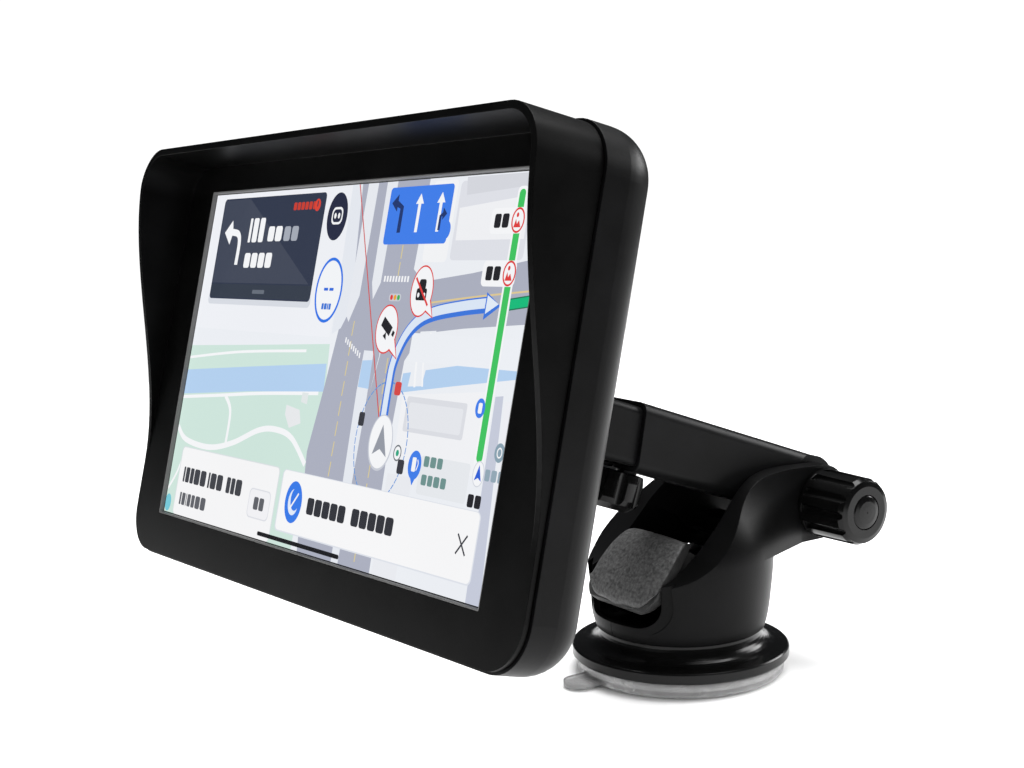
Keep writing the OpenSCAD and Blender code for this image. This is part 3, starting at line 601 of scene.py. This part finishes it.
def paint_dials():
    """Round button and speed dial."""
    oval(-9.8, 46.3, 6.2, 7.5, BUTTON_NAVY)
    rect(-13.2, 43.8, -6.4, 49.2, WHITE, 2)
    rect(-12.5, 44.5, -7.1, 48.5, BUTTON_NAVY, 1.5)
    oval(-11, 46.5, 0.7, 0.9, WHITE, 16)
    oval(-8.7, 46.5, 0.7, 0.9, WHITE, 16)
    ring(-7.4, 23.4, 8.3, 10.1, 0.95, srgb(44, 118, 236), srgb(250, 252, 255))
    bars(-10.4, 23.2, 0.9, (2.6, 2.6), srgb(44, 108, 226), 0.8)
    bars(-10.2, 17.4, 1.9, (1.3, 1.6, 0.7, 1.3), srgb(60, 120, 220), 0.3)


def paint_cards():
    """Pale cards along the bottom edge."""
    rect(-92.2, -half_h, -18.8, -32.4, srgb(226, 231, 234), 1.8)
    rect(-91.7, -half_h, -19.3, -32.7, srgb(253, 253, 254), 1.6)
    bars(-88.2, -44.4, 5.2, (1.3, 3, 2.8), CARD_INK, 0.6)
    bars(-79.4, -44.4, 5.2, (4.3, 4.3), CARD_INK, 0.6)
    bars(-68.4, -44.4, 5.2, (1.3, 4.3, 4.3), CARD_INK, 0.6)
    bars(-54.2, -44.4, 5.2, (2.8, 2.8, 4.4), CARD_INK, 0.6)
    bars(-88.2, -52.2, 4.2, (1.3, 2.6, 0.6, 2.6, 2.6, 3.6, 3.8), CARD_GREY, 0.6)
    rect(-36.8, -50, -22, -40.6, srgb(228, 230, 236), 2)
    rect(-36.4, -49.6, -22.4, -41, srgb(249, 249, 252), 1.8)
    bars(-33, -47.2, 4, (3.2, 3.2), CARD_GREY, 0.6)
    rect(-16.6, -51.6, 92.4, -32.6, srgb(228, 232, 240), 1.8)
    rect(-16.1, -51.2, 91.9, -32.8, srgb(254, 254, 255), 1.6)
    oval(-7.2, -41.9, 5.3, 6.4, BADGE_BLUE)
    oval(-7.2, -41.9, 3.3, 4, srgb(232, 241, 255))
    oval(-6.2, -40.9, 2.9, 3.5, BADGE_BLUE)
    stroke([(-9, -44.2), (-4.6, -39)], 0.7, WHITE)
    bars(1.6, -44.4, 5, (4.2, 4.2, 4.2, 4.2, 4.2), srgb(44, 46, 52), 0.5)
    bars(28.4, -44.4, 5, (4.2, 4.2, 4.2, 4.2, 4.2), srgb(44, 46, 52), 0.5)
    stroke([(83.4, -44.4), (87.8, -39.2)], 0.6, CROSS_GREY)
    stroke([(83.4, -39.2), (87.8, -44.4)], 0.6, CROSS_GREY)
    rect(-27.2, -54.7, 25, -53.4, srgb(8, 8, 10), 0.6)
    oval(-97, -52.6, 2.4, 3, srgb(120, 206, 222))


for paint in (paint_ground, paint_avenues, paint_buildings, paint_lines, paint_route,
              paint_vehicle, paint_callouts, paint_lane_sign, paint_progress, paint_places,
              paint_turn_panel, paint_dials, paint_cards):
    paint()


PICTURE_Y = 1.46  # just in front of the glass, behind the face of the frame


def build_picture():
    """Flat mesh cut along every outline; each cell takes the colour of its topmost shape."""
    verts, faces = [], []
    for points, _ in shapes:
        inside = [(max(-half_w, min(half_w, x)), max(-half_h, min(half_h, z))) for x, z in points]
        faces.append(list(range(len(verts), len(verts) + len(inside))))
        verts += [Vector(p) for p in inside]
    points, _, cells, _, _, owners = geometry.delaunay_2d_cdt(verts, [], faces, 1, 1e-4)
    painted = [(cell, max(owner)) for cell, owner in zip(cells, owners) if owner]
    picture = add_piece("screen_picture", [on_display(p[0], PICTURE_Y, p[1]) for p in points],
                        [cell[::-1] for cell, _ in painted], screen_material(), "display",
                        smooth=False)
    paint = picture.data.color_attributes.new("picture", "FLOAT_COLOR", "CORNER")
    for p, (_, top) in zip(picture.data.polygons, painted):
        for k in p.loop_indices:
            paint.data[k].color = (*shapes[top][1], 1)
    if picture.data.polygons[0].normal.dot(-disp_y) < 0:
        picture.data.flip_normals()


build_picture()


# ---------- trim around the window ----------

def rounded_loop(w, h, r, n=5):
    pts = []
    for sx, sz, start in ((1, 1, 0), (-1, 1, 90), (-1, -1, 180), (1, -1, 270)):
        pts += arc_points(sx * (w / 2 - r), sz * (h / 2 - r), r,
                          [start + 90 * k / n for k in range(n + 1)])
    return pts


def frame_ring(name, sections, material, body):
    """Closed ring in the display's axes; sections are (width, height, corner, y)."""
    verts, faces = [], []
    loops = [rounded_loop(w, h, r) for w, h, r, _ in sections]
    n = len(loops[0])
    for loop, (_, _, _, y) in zip(loops, sections):
        verts += [on_display(x, y, z) for x, z in loop]
    m = len(sections)
    for j in range(m):
        for i in range(n):
            faces.append([j * n + i, j * n + (i + 1) % n, ((j + 1) % m) * n + (i + 1) % n,
                          ((j + 1) % m) * n + i])
    obj = add_piece(name, verts, faces, material, body, smooth=False)
    recalc(obj)


window_w, window_h = SCREEN_W + 1.8, SCREEN_H + 1.8
TRIM_FRONT, TRIM_LIP, TRIM_BACK = 0.03, 0.12, 1.47
frame_ring("window_trim", [
    (window_w - 0.02, window_h - 0.02, 0.5, TRIM_FRONT),
    (window_w - 0.02, window_h - 0.02, 0.5, TRIM_BACK),
    (window_w - 1.3, window_h - 1.3, 0.3, TRIM_BACK),
    (window_w - 0.9, window_h - 0.9, 0.3, TRIM_LIP)], trim_grey, "display")


# ---------- smooth shells of the suction base ----------

def closed_mesh(name, verts, faces):
    """Watertight working mesh from points in millimetres."""
    mesh = bpy.data.meshes.new(name)
    mesh.from_pydata([tuple(Vector(v) * MM) for v in verts], [], faces)
    bm = bmesh.new()
    bm.from_mesh(mesh)
    bmesh.ops.remove_doubles(bm, verts=bm.verts, dist=1e-6)
    bmesh.ops.dissolve_degenerate(bm, edges=bm.edges, dist=1e-7)
    bmesh.ops.recalc_face_normals(bm, faces=bm.faces)
    bm.to_mesh(mesh)
    bm.free()
    obj = bpy.data.objects.new(name, mesh)
    bpy.context.scene.collection.objects.link(obj)
    return obj


def prism(points, axis, a, b):
    """Closed prism: an outline across the axis, drawn from a to b along it."""
    n = len(points)
    put = {"x": lambda p, t: (t, p[0], p[1]), "y": lambda p, t: (p[0], t, p[1]),
           "z": lambda p, t: (p[0], p[1], t)}[axis]
    verts = [put(p, a) for p in points] + [put(p, b) for p in points]
    faces = [list(range(n)), list(range(n, 2 * n))[::-1]]
    faces += [[k, (k + 1) % n, n + (k + 1) % n, n + k] for k in range(n)]
    return closed_mesh("cutter", verts, faces)


def carve(obj, cutter, operation="DIFFERENCE"):
    """Apply an exact boolean to a working mesh and use the cutter up."""
    mod = obj.modifiers.new("carve", "BOOLEAN")
    mod.operation, mod.object, mod.solver = operation, cutter, "EXACT"
    bpy.context.view_layer.update()
    result = obj.evaluated_get(bpy.context.evaluated_depsgraph_get())
    carved = bpy.data.meshes.new_from_object(result)
    obj.modifiers.clear()
    obj.data = carved
    bpy.data.objects.remove(cutter)


EAR_IN, EAR_OUT, EAR_R = 14.4, 20.5, 13.5
EAR_FRONT, EAR_RUN, EAR_TAPER = 40.0, 30, 0.02
PIVOT_Y, PIVOT_Z = 49.0, 56.3
PIN_Z, PIN_WELL_R = 34.0, 20.6
BODY_R, BODY_TOP = 33.1, 42.8
ROOM_FLOOR, ROOM_TOP = 19.5, 41
WELL_HALF, WELL_REAR = 19.6, 32.5
DOOR_HALF, DOOR_LOW, DOOR_CORNER, DOOR_TOP = 19.2, 22, 8, 85
BAND_HALF, BAND_LOW, BAND_CORNER, BAND_R = 23.2, 19.4, 11.5, 30.9
BOLT_HEX, BOLT_SEAT = 5.95, -16.3
SCREW_Y, SCREW_HEAD_R, SCREW_SEAT = 22.5, 3.1, -15
SEAM = 0.11
# (height, radius) of the round body and of the shoulder that runs back to the ears
BODY = [(16, 29.2), (16.5, 29.9), (18, 30.4), (20, 30.9), (23, 31.4), (26, 31.8), (30, 32.2),
        (34, 32.6), (38, 32.9), (BODY_TOP, BODY_R)]
SHOULDER = [(BODY_TOP, BODY_R), (45, 33), (48, 32.4), (51, 31.4), (54, 30), (57, 28.4),
            (60, 26.8), (63, 25.2), (66, 23.7), (69, 22.5), (74, 21.6)]
# Side view of the brow, from the front up to the top of the ears
BROW = [(-28, 36), (-22, 38), (-15.5, 41.2), (-8, 47), (-1.5, 53), (4, 58.6), (9, 63.2),
        (14.5, 67), (20, 69.2), (28, 70.2), (36, 70.4)]


def shell_section(r, with_ears, n_arc=60, n_flank=24, n_ear=10):
    """Plan of the housing: round, or a round front whose flanks run back to the ears."""
    far = math.hypot(EAR_OUT, EAR_FRONT)
    touch = r if with_ears else BODY_R
    end = math.atan2(EAR_FRONT, EAR_OUT) - math.acos(touch / far)
    half = []
    for k in range(n_arc + 1):
        a = -math.pi / 2 + (end + math.pi / 2) * k / n_arc
        half.append((r * math.cos(a), r * math.sin(a)))
    if with_ears:
        x0, y0 = half[-1]
        for k in range(1, n_flank + 1):
            t = k / n_flank
            half.append((x0 + (EAR_OUT - x0) * t, y0 + (EAR_FRONT - y0) * t))
        for k in range(1, n_ear + 1):
            half.append((EAR_OUT - EAR_TAPER * k, EAR_FRONT + EAR_RUN * k / n_ear))
    else:
        rest = n_flank + n_ear
        for k in range(1, rest + 1):
            a = end + (math.pi / 2 - end) * k / (rest + 1)
            half.append((r * math.cos(a), r * math.sin(a)))
    return half + [(-x, y) for x, y in half[:0:-1]]


def housing_solid():
    """The plans joined ring to ring and closed at both ends."""
    rings = [(z, shell_section(r, False)) for z, r in BODY]
    rings += [(z, shell_section(r, True)) for z, r in SHOULDER]
    n = len(rings[0][1])
    verts = [(x, y, z) for z, plan in rings for x, y in plan]
    faces = [list(range(n))[::-1], [(len(rings) - 1) * n + k for k in range(n)]]
    for j in range(len(rings) - 1):
        faces += [[j * n + k, j * n + (k + 1) % n, (j + 1) * n + (k + 1) % n, (j + 1) * n + k]
                  for k in range(n)]
    return closed_mesh("housing", verts, faces)


def side_view():
    ear = arc_points(PIVOT_Y, PIVOT_Z, EAR_R, range(90, -91, -6))
    foot = [(34, PIVOT_Z - EAR_R), (34, 0)]
    return [(-60, 0), (-60, 35.4)] + spline(BROW, 4) + ear + foot


def round_room():
    """Room for the plunger, closed in towards its ceiling."""
    return closed_mesh("cutter", *lathe([(0, ROOM_FLOOR), (28, ROOM_FLOOR), (29.2, 32), (24, 36),
                                         (20, ROOM_TOP), (0, ROOM_TOP)]))


def arm_well():
    """Room for the arm between the ears; a low wall stays behind the lever."""
    well = prism([(-WELL_HALF, -60), (WELL_HALF, -60), (WELL_HALF, 2), (EAR_IN, 27), (EAR_IN, 90),
                  (-EAR_IN, 90), (-EAR_IN, 27), (-WELL_HALF, 2)], "z", 40, 95)
    above_wall = [(-80, 45), (21, 45), (21, 50), (WELL_REAR, 50), (WELL_REAR, 30), (100, 30),
                  (100, 99), (-80, 99)]
    carve(well, prism(above_wall, "x", -60, 60), "INTERSECT")
    return well


def arch(half, low, corner):
    """Outline of the lever's doorway, open at the top."""
    outline = [(half, DOOR_TOP), (-half, DOOR_TOP)]
    for side, start in ((-1, 180), (1, 270)):
        outline += arc_points(side * (half - corner), low + corner, corner,
                              range(start, start + 91, 9))
    return outline


def shell_half(shell, side, name):
    bm = bmesh.new()
    bm.from_mesh(shell.data)
    gone = [f for f in bm.faces if f.calc_center_median().x * side < 0]
    bmesh.ops.delete(bm, geom=gone, context="FACES")
    bmesh.ops.remove_doubles(bm, verts=bm.verts, dist=1e-6)
    bmesh.ops.dissolve_degenerate(bm, edges=bm.edges, dist=1e-6)
    bmesh.ops.recalc_face_normals(bm, faces=bm.faces)
    mesh = bpy.data.meshes.new(name + "_shell")
    bm.to_mesh(mesh)
    bm.free()
    mesh.materials.clear()
    mesh.materials.append(MATS["satin_black"])
    for p in mesh.polygons:
        p.use_smooth = True
        p.material_index = 0
    mesh.set_sharp_from_angle(angle=math.radians(32))
    piece = bpy.data.objects.new(name + "_shell", mesh)
    bpy.context.scene.collection.objects.link(piece)
    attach(piece, "base")
    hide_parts(name)


def build_housing():
    shell = housing_solid()
    carve(shell, prism(side_view(), "x", -50, 50), "INTERSECT")
    carve(shell, round_room())
    carve(shell, arm_well())
    carve(shell, prism(round_points(0, PIN_Z, PIN_WELL_R), "x", -18.95, 18.95))
    carve(shell, prism(arch(DOOR_HALF, DOOR_LOW, DOOR_CORNER), "y", -45, -7.5))
    # Shallow band round the doorway
    band = prism(arch(BAND_HALF, BAND_LOW, BAND_CORNER), "y", -45, -9)
    carve(band, prism(round_points(0, 0, BAND_R), "z", 5, 90))
    carve(shell, band)
    # Seats of the bolt's head and of the two screws
    hexagon = arc_points(PIVOT_Y, PIVOT_Z, BOLT_HEX, range(0, 360, 60))
    carve(shell, prism(hexagon, "x", -30, BOLT_SEAT))
    for z in (25.0, 36.0):
        carve(shell, prism(round_points(SCREW_Y, z, SCREW_HEAD_R, 40), "x", -40, SCREW_SEAT))
    # Seam between the halves
    carve(shell, prism([(-60, 0), (60, 0), (60, 95), (-60, 95)], "x", -SEAM, SEAM))
    shell_half(shell, -1, "housing_left")
    shell_half(shell, 1, "housing_right")
    bpy.data.objects.remove(shell)


build_housing()


# ---------- grained grip on the suction lever ----------

GRIP_LINE = [(-28.3, 28.9), (-27.3, 31.2), (-25, 34.6), (-22.6, 37.8), (-19.8, 41), (-17, 44),
             (-14.6, 46.1), (-12.4, 47.8), (-10.8, 48.6), (-9.2, 49)]
GRIP_HALF = [(-32, 17.6), (-28.4, 18.1), (-25.5, 18.2), (-21, 18.1), (-17, 17.4), (-14, 16.6),
             (-10.5, 15.2), (-9, 14), (-7, 13)]


def lerp_table(table, x):
    """Value at x on straight lines between the table's rows."""
    for (a, va), (b, vb) in zip(table, table[1:]):
        if x <= b:
            t = max(0.0, (x - a) / (b - a))
            return va + (vb - va) * t
    return table[-1][1]


GRIP_RISE, GRIP_DOME, GRIP_BURY = 0.25, 1.5, 0.5


def build_grip():
    """Domed skin along the lever's plate, dipped into it on its underside."""
    line = spline(GRIP_LINE, 4)
    nu, nv = 40, len(line) - 1
    top, low = [], []
    for j, (y, z) in enumerate(line):
        a, b = line[max(j - 1, 0)], line[min(j + 1, nv)]
        ty, tz = b[0] - a[0], b[1] - a[1]
        n = math.hypot(ty, tz)
        ny, nz = -tz / n, ty / n
        v = j / nv
        half = lerp_table(GRIP_HALF, y)
        for i in range(nu + 1):
            u = 2 * i / nu - 1
            # The lip hangs lower in its middle, with a small wave to each side
            lip = (1 - v) ** 3
            drop = (0.7 - 6.6 * abs(u) ** 4 + 0.35 * math.cos(3 * math.pi * u)) * lip
            dome = (1 - abs(u) ** 3.2) ** 0.8 * (1 - (2 * v - 1) ** 6) ** 0.6
            rise = GRIP_RISE + GRIP_DOME * dome
            x = half * u
            yy, zz = y - drop * ty / n, z - drop * tz / n
            top.append(Vector((x, yy + ny * rise, zz + nz * rise)) * MM)
            low.append(Vector((x * 0.985, yy - ny * GRIP_BURY, zz - nz * GRIP_BURY)) * MM)
    grip = add_piece("lever_grip", top + low, sheet_faces(nu, nv), grip_grain, "lever")
    recalc(grip)
    smooth = grip.modifiers.new("subsurf", "SUBSURF")
    smooth.levels = smooth.render_levels = 1


build_grip()


# ---------- clear gel pad with its pull tab ----------

def build_pad():
    """Clear pad: a rim with a shallow groove and a recess under the base."""
    low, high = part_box("gel_pad")
    r, top = high.x * 1000, high.z * 1000
    verts, faces = lathe([
        (0, 0.02), (r - 2, 0.02), (r - 0.7, 0.2), (r - 0.1, 0.8), (r - 0.05, 1.8), (r - 0.5, 2.3),
        (r - 0.5, 2.6), (r - 0.05, 3.1), (r - 0.05, 4.4), (r - 0.4, 5.2), (r - 1.2, top - 0.05),
        (15.6, top - 0.05), (15.5, 2.5), (0, 2.45)])
    pad = add_piece("gel_pad_clear", [Vector(v) * MM for v in verts], faces, MATS["clear_gel"],
                    "base")
    recalc(pad)
    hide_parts("gel_pad")
    build_tab(low.y * 1000)


TAB_X, TAB_HALF, TAB_ROOT, TAB_LOW, TAB_THICK = -4.0, 5.5, -31.2, 0.5, 1.55


def build_tab(tip_y):
    """Pull tab: a rounded tongue with a raised rim and small grip ribs."""
    round_y = tip_y + TAB_HALF
    nu, nv = 16, 30
    verts = []
    for upper in (True, False):
        for j in range(nv + 1):
            y = TAB_ROOT - (TAB_ROOT - tip_y) * j / nv
            d = (round_y - y) / TAB_HALF
            half = TAB_HALF if d < 0 else TAB_HALF * math.sqrt(max(0.0, 1 - d * d))
            half = max(half, 0.05) + (0.8 * max(0, (y + 38) / 7) ** 2)
            for i in range(nu + 1):
                u = 2 * i / nu - 1
                edge = max(abs(u) ** 8, (j / nv) ** 14)
                rib = 0.18 * math.sin(j * 1.15) * (1 - edge) * (j > 12)
                rise = 0.05 + TAB_THICK + 0.35 * edge + rib
                z = TAB_LOW + rise if upper else TAB_LOW
                verts.append(Vector((TAB_X + half * u, y, z)) * MM)
    tab = add_piece("pull_tab", verts, sheet_faces(nu, nv), MATS["clear_gel"], "base")
    recalc(tab)


build_pad()


# ---------- studio ----------

def pale_floor():
    m, nt, bsdf = new_material("floor")
    tex = noise_of(nt, 3, 2.0)
    nt.links.new(ramp_of(nt, tex.outputs[0], grey(0.93), grey(0.95)), bsdf.inputs["Base Color"])
    bsdf.inputs["Roughness"].default_value = 0.6
    bsdf.inputs["Specular IOR Level"].default_value = 0.2
    mesh = bpy.data.meshes.new("floor")
    reach = 0.8
    mesh.from_pydata([(-reach, -reach, 0), (reach, -reach, 0), (reach, reach, 0),
                      (-reach, reach, 0)], [], [[0, 1, 2, 3]])
    mesh.materials.append(m)
    floor = bpy.data.objects.new("floor", mesh)
    bpy.context.scene.collection.objects.link(floor)


pale_floor()


def background(nt, colour, strength):
    node = nt.nodes.new("ShaderNodeBackground")
    node.inputs["Color"].default_value = (*colour, 1)
    node.inputs["Strength"].default_value = strength
    return node


def white_studio():
    """White all round, but dim in reflections, so that the black plastics stay deep."""
    world = bpy.data.worlds.new("studio")
    bpy.context.scene.world = world
    world.use_nodes = True
    nt = world.node_tree
    nt.nodes.clear()
    out = nt.nodes.new("ShaderNodeOutputWorld")
    seen = background(nt, (1, 1, 1), 1.08)
    reflected = background(nt, (0.9, 0.95, 1), 0.05)
    path = nt.nodes.new("ShaderNodeLightPath")
    mix = nt.nodes.new("ShaderNodeMixShader")
    nt.links.new(path.outputs["Is Glossy Ray"], mix.inputs[0])
    nt.links.new(seen.outputs[0], mix.inputs[1])
    nt.links.new(reflected.outputs[0], mix.inputs[2])
    nt.links.new(mix.outputs[0], out.inputs["Surface"])


white_studio()


def area_light(name, place, aim, size, power):
    data = bpy.data.lights.new(name, "AREA")
    data.shape = "RECTANGLE"
    data.size, data.size_y = size
    data.energy = power
    obj = bpy.data.objects.new(name, data)
    obj.location = place
    obj.rotation_euler = (Vector(aim) - Vector(place)).to_track_quat("-Z", "Y").to_euler()
    bpy.context.scene.collection.objects.link(obj)


area_light("top_soft", (-0.1, 0.2, 0.95), (0, -0.05, 0.1), (0.9, 0.5), 14)
area_light("back_soft", (0.25, 1.1, 0.55), (0, 0, 0.08), (0.8, 0.35), 9)
area_light("low_front", (0.35, -1.0, 0.02), (0, -0.1, 0.06), (0.7, 0.12), 1.2)


# ---------- camera ----------

CAM_PLACE = (0.43426, -0.36494, 0.18912)
CAM_RIGHT = Vector((0.5637, 0.82566, -0.02283)).normalized()
CAM_BACK = Vector((0.81765, -0.55389, 0.15705)).normalized()
CAM_LENS, CAM_SENSOR = 57.6, 36
CAM_SHIFT_X, CAM_SHIFT_Y = 0.0016, 0.0108


def add_camera():
    data = bpy.data.cameras.new("camera")
    data.lens = CAM_LENS
    data.sensor_width = CAM_SENSOR
    data.shift_x = CAM_SHIFT_X
    data.shift_y = CAM_SHIFT_Y
    data.clip_start = 0.01
    cam = bpy.data.objects.new("camera", data)
    turn = Matrix((CAM_RIGHT, CAM_BACK.cross(CAM_RIGHT), CAM_BACK)).transposed().to_4x4()
    cam.matrix_world = Matrix.Translation(CAM_PLACE) @ turn
    bpy.context.scene.collection.objects.link(cam)
    bpy.context.scene.camera = cam


add_camera()
bpy.context.scene.view_settings.view_transform = "Standard"
